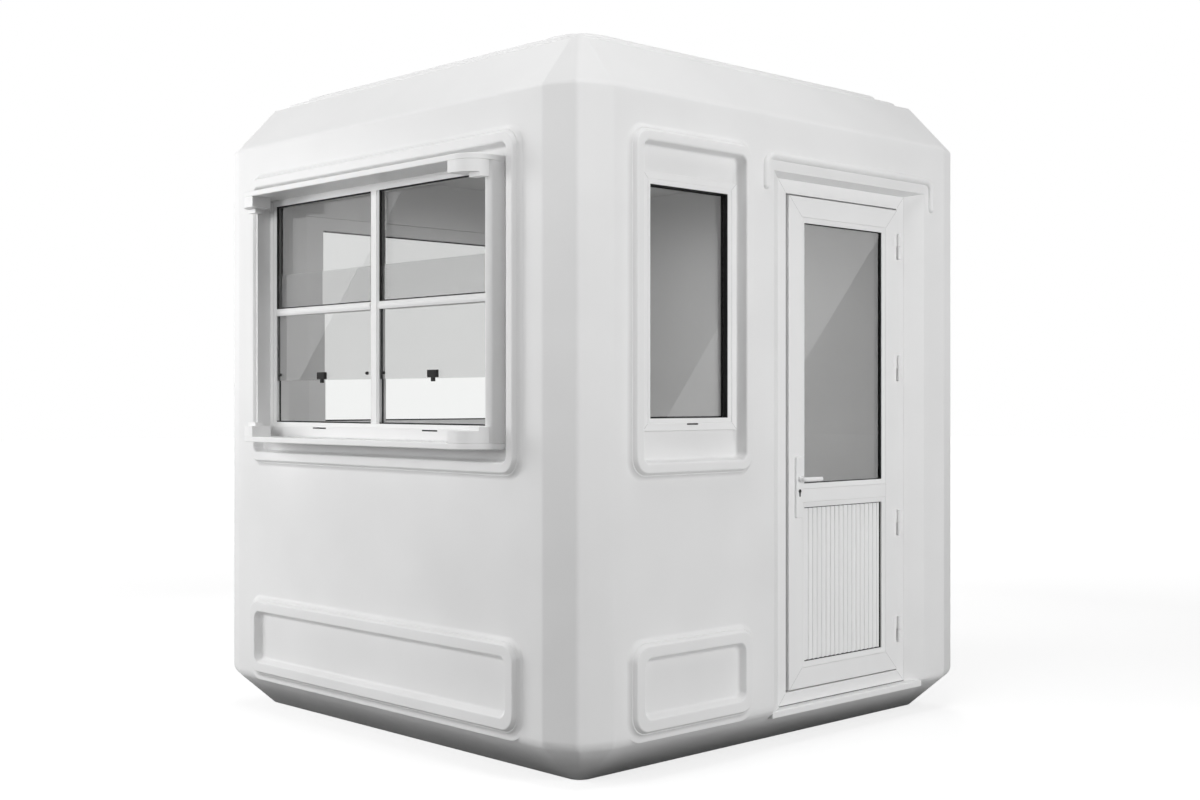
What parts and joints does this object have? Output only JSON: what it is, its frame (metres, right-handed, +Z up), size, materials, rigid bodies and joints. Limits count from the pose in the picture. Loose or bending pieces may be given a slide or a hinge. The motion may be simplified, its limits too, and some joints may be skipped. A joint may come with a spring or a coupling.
{
  "type": "security guard booth",
  "caption": "Square moulded glass-fibre guard booth with faceted corners, a hooded service window, side window, hinged glazed door with lever handle, tapered base and sloped flat-topped roof.",
  "frame": {"origin": "ground level, under the centre of the square wall plan", "axes": "+Z up, the door wall faces +X, the hooded service window faces -Y"},
  "size_m": [2.2, 2.305, 2.456],
  "materials": {
    "gelcoat_white": "satin-gloss white glass-fibre gelcoat",
    "pvc_white": "smooth white extruded PVC",
    "smoked_glass": "smoke-grey reflective glazing",
    "black_plastic": "black moulded fittings",
    "white_coated_metal": "white powder-coated metal",
    "floor_board": "matt grey floor covering"
  },
  "bodies": {
    "booth": {"base_skirt": "gelcoat_white", "corner_post_front_right": "gelcoat_white", "corner_post_front_left": "gelcoat_white", "corner_post_rear_right": "gelcoat_white", "corner_post_rear_left": "gelcoat_white", "front_wall": "gelcoat_white", "left_wall": "gelcoat_white", "rear_wall": "gelcoat_white", "door_wall_window_bay": "gelcoat_white", "door_wall_header": "gelcoat_white", "door_wall_end_bay": "gelcoat_white", "roof_slope_band": "gelcoat_white", "roof_top": "gelcoat_white", "ceiling_panel": "gelcoat_white", "front_window_surround": "gelcoat_white", "left_window_surround": "gelcoat_white", "side_window_surround": "gelcoat_white", "front_lower_panel_rim": "gelcoat_white", "left_lower_panel_rim": "gelcoat_white", "rear_lower_panel_rim": "gelcoat_white", "side_lower_panel_rim": "gelcoat_white", "door_drip_bead": "gelcoat_white", "hood_top_shelf": "gelcoat_white", "hood_bottom_shelf": "gelcoat_white", "hood_side_boards": "gelcoat_white", "hood_corner_gussets": "gelcoat_white", "floor_panel": "floor_board", "front_window_frame": "pvc_white", "left_window_frame": "pvc_white", "side_window_frame": "pvc_white", "door_frame_lock_jamb": "pvc_white", "door_frame_hinge_jamb": "pvc_white", "door_frame_head": "pvc_white", "door_frame_threshold": "pvc_white", "door_sill": "pvc_white", "door_stop_strips": "pvc_white", "front_window_glass": "smoked_glass", "front_hatch_panes": "smoked_glass", "left_window_glass": "smoked_glass", "side_window_glass": "smoked_glass", "front_hatch_fittings": "black_plastic", "door_hinges_fixed": "white_coated_metal"},
    "door": {"door_leaf_frame": "pvc_white", "door_glass": "smoked_glass", "door_ribbed_panel": "pvc_white", "door_hinges_moving": "white_coated_metal", "door_handle_plate": "white_coated_metal"},
    "handle": {"door_lever": "white_coated_metal"}
  },
  "joints": [
    {"name": "door_hinge", "type": "hinge", "parent": "booth", "child": "door", "pos_m": [1.047, 0.6525, 1.074], "axis": [0, 0, 1], "range_deg": [0, 100]},
    {"name": "handle_lever", "type": "hinge", "parent": "door", "child": "handle", "pos_m": [1.06, 0.045, 0.942], "axis": [-1, 0, 0], "range_deg": [0, 40], "stiffness_Nm_per_rad": 1.5, "springref_deg": -28.65}
  ]
}
